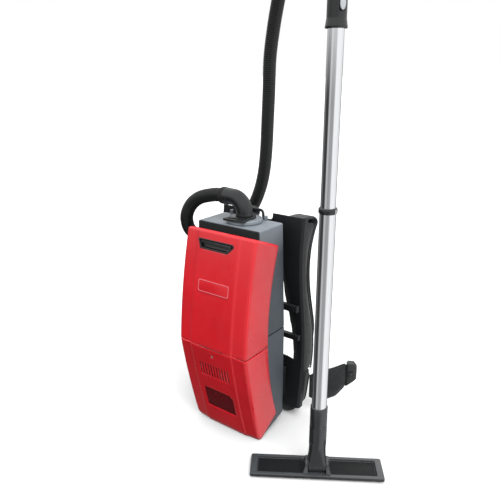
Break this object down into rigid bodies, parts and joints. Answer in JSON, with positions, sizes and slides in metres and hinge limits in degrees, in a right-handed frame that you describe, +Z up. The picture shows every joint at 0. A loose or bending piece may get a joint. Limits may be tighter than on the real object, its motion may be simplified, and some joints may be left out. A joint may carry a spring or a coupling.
{
  "type": "backpack vacuum cleaner",
  "caption": "Backpack vacuum cleaner with a hinged dust cover, padded harness, swivelling hose, telescopic wand and tilting floor tool.",
  "frame": {"origin": "bottom centre of the whole object without its hose, on the floor", "axes": "+Z up, -Y towards the red front, +Y towards the wearer's back, +X towards the wand's side"},
  "size_m": [0.6637, 0.4098, 1.2846],
  "materials": {
    "red_cover": "moulded, satin gloss",
    "grey_housing": "moulded, fine texture",
    "black_plastic": "moulded, satin",
    "black_rubber": "matte",
    "hose_plastic": "ribbed flexible hose",
    "padding": "padded woven fabric",
    "webbing": "woven webbing",
    "chrome": "bright plated steel tube",
    "steel": "plain steel",
    "pale_plastic": "smooth moulded",
    "tool_grey": "smooth moulded, dark slate grey",
    "filter_media": "non-woven filter paper and foam"
  },
  "bodies": {
    "unit": {"back_frame": "black_plastic", "back_pad_left": "padding", "back_pad_right": "padding", "bag_collar": "filter_media", "belt_webbing_left": "webbing", "belt_webbing_right": "webbing", "buckle_plug": "black_plastic", "buckle_socket": "black_plastic", "cable_gland": "black_rubber", "cover_gasket": "black_rubber", "cover_screw": "steel", "exhaust_filter": "filter_media", "exhaust_grille": "red_cover", "filter_bag": "filter_media", "hinge_pin": "steel", "hip_belt_left": "padding", "hip_belt_right": "padding", "hose": "hose_plastic", "inlet_boss": "grey_housing", "inlet_elbow": "black_plastic", "inlet_seal": "black_rubber", "ladder_buckle_left": "black_plastic", "ladder_buckle_right": "black_plastic", "lower_cover": "red_cover", "lower_cross_bar": "black_plastic", "lower_housing": "grey_housing", "lumbar_pad": "padding", "motor_casing": "black_plastic", "motor_filter": "filter_media", "motor_mount": "black_rubber", "motor_seal": "black_rubber", "shoulder_strap_left": "padding", "shoulder_strap_right": "padding", "strap_webbing_left": "webbing", "strap_webbing_right": "webbing", "switch_pod": "black_plastic", "upper_cross_bar": "black_plastic", "upper_housing": "grey_housing"},
    "cover": {"upper_cover": "red_cover", "latch_cup": "black_plastic", "blank_badge": "red_cover"},
    "latch": {"latch_handle": "black_plastic"},
    "ring": {"locking_ring": "black_plastic"},
    "carry": {"carry_handle": "black_plastic"},
    "fan": {"fan_rotor": "steel"},
    "hose_cuff": {"inlet_cuff": "black_rubber"},
    "rocker": {"power_switch": "black_plastic"},
    "wand": {"upper_tube": "chrome", "hand_grip": "black_plastic"},
    "lower_wand": {"lower_tube": "chrome", "tube_collar": "black_plastic"},
    "neck": {"tool_neck": "tool_grey", "tool_pivot_pin": "steel"},
    "tool": {"floor_tool": "tool_grey", "brush_strip": "black_rubber"},
    "grip_cuff": {"handle_cuff": "black_rubber"},
    "air_ring": {"air_slider": "pale_plastic"},
    "button": {"release_button": "pale_plastic"}
  },
  "joints": [
    {"name": "cover_hinge", "type": "hinge", "parent": "unit", "child": "cover", "pos_m": [-0.1009, -0.134, 0.2645], "axis": [1, 0, 0], "range_deg": [0, 95]},
    {"name": "latch_flap", "type": "hinge", "parent": "cover", "child": "latch", "pos_m": [-0.1009, -0.0963, 0.5328], "axis": [-1, 0, 0], "range_deg": [0, 35], "stiffness_Nm_per_rad": 0.02},
    {"name": "locking_ring_turn", "type": "hinge", "parent": "unit", "child": "ring", "pos_m": [-0.0909, -0.0058, 0.58], "axis": [0, 0, 1], "range_deg": [0, 30]},
    {"name": "handle_fold", "type": "hinge", "parent": "unit", "child": "carry", "pos_m": [-0.1109, 0.0377, 0.5765], "axis": [-1, 0, 0], "range_deg": [0, 80]},
    {"name": "fan_spin", "type": "hinge", "parent": "unit", "child": "fan", "pos_m": [-0.1009, -0.0378, 0.2], "axis": [0, 0, 1], "continuous": true},
    {"name": "inlet_cuff_swivel", "type": "hinge", "parent": "unit", "child": "hose_cuff", "pos_m": [-0.1477, -0.0058, 0.628], "axis": [-1, 0, 0], "continuous": true},
    {"name": "power_rocker", "type": "hinge", "parent": "unit", "child": "rocker", "pos_m": [0.1432, 0.1592, 0.138], "axis": [0.7648, 0.6443, 0], "range_deg": [-6, 6]},
    {"name": "wand_lift", "type": "slide", "parent": "unit", "child": "wand", "axis": [0, 0, 1], "range_m": [0, 0.12], "deforming": ["hose"]},
    {"name": "telescope", "type": "slide", "parent": "wand", "child": "lower_wand", "axis": [0, 0, 1], "range_m": [0, 0.32]},
    {"name": "tool_swivel", "type": "hinge", "parent": "lower_wand", "child": "neck", "pos_m": [0.1835, -0.08, 0.13], "axis": [0, 0, 1], "range_deg": [-90, 90]},
    {"name": "tool_tilt", "type": "hinge", "parent": "neck", "child": "tool", "pos_m": [0.1835, -0.08, 0.029], "axis": [0.8358, 0.549, 0], "range_deg": [-60, 60]},
    {"name": "cuff_swivel", "type": "hinge", "parent": "wand", "child": "grip_cuff", "pos_m": [0.1017, -0.0309, 1.1986], "axis": [-0.7021, 0.4219, 0.5736], "continuous": true},
    {"name": "air_slide", "type": "slide", "parent": "wand", "child": "air_ring", "axis": [-0.7021, 0.4219, 0.5736], "range_m": [0, 0.012]},
    {"name": "button_press", "type": "slide", "parent": "wand", "child": "button", "axis": [-0.866, 0.5, 0], "range_m": [0, 0.0015], "stiffness_N_per_m": 300}
  ]
}
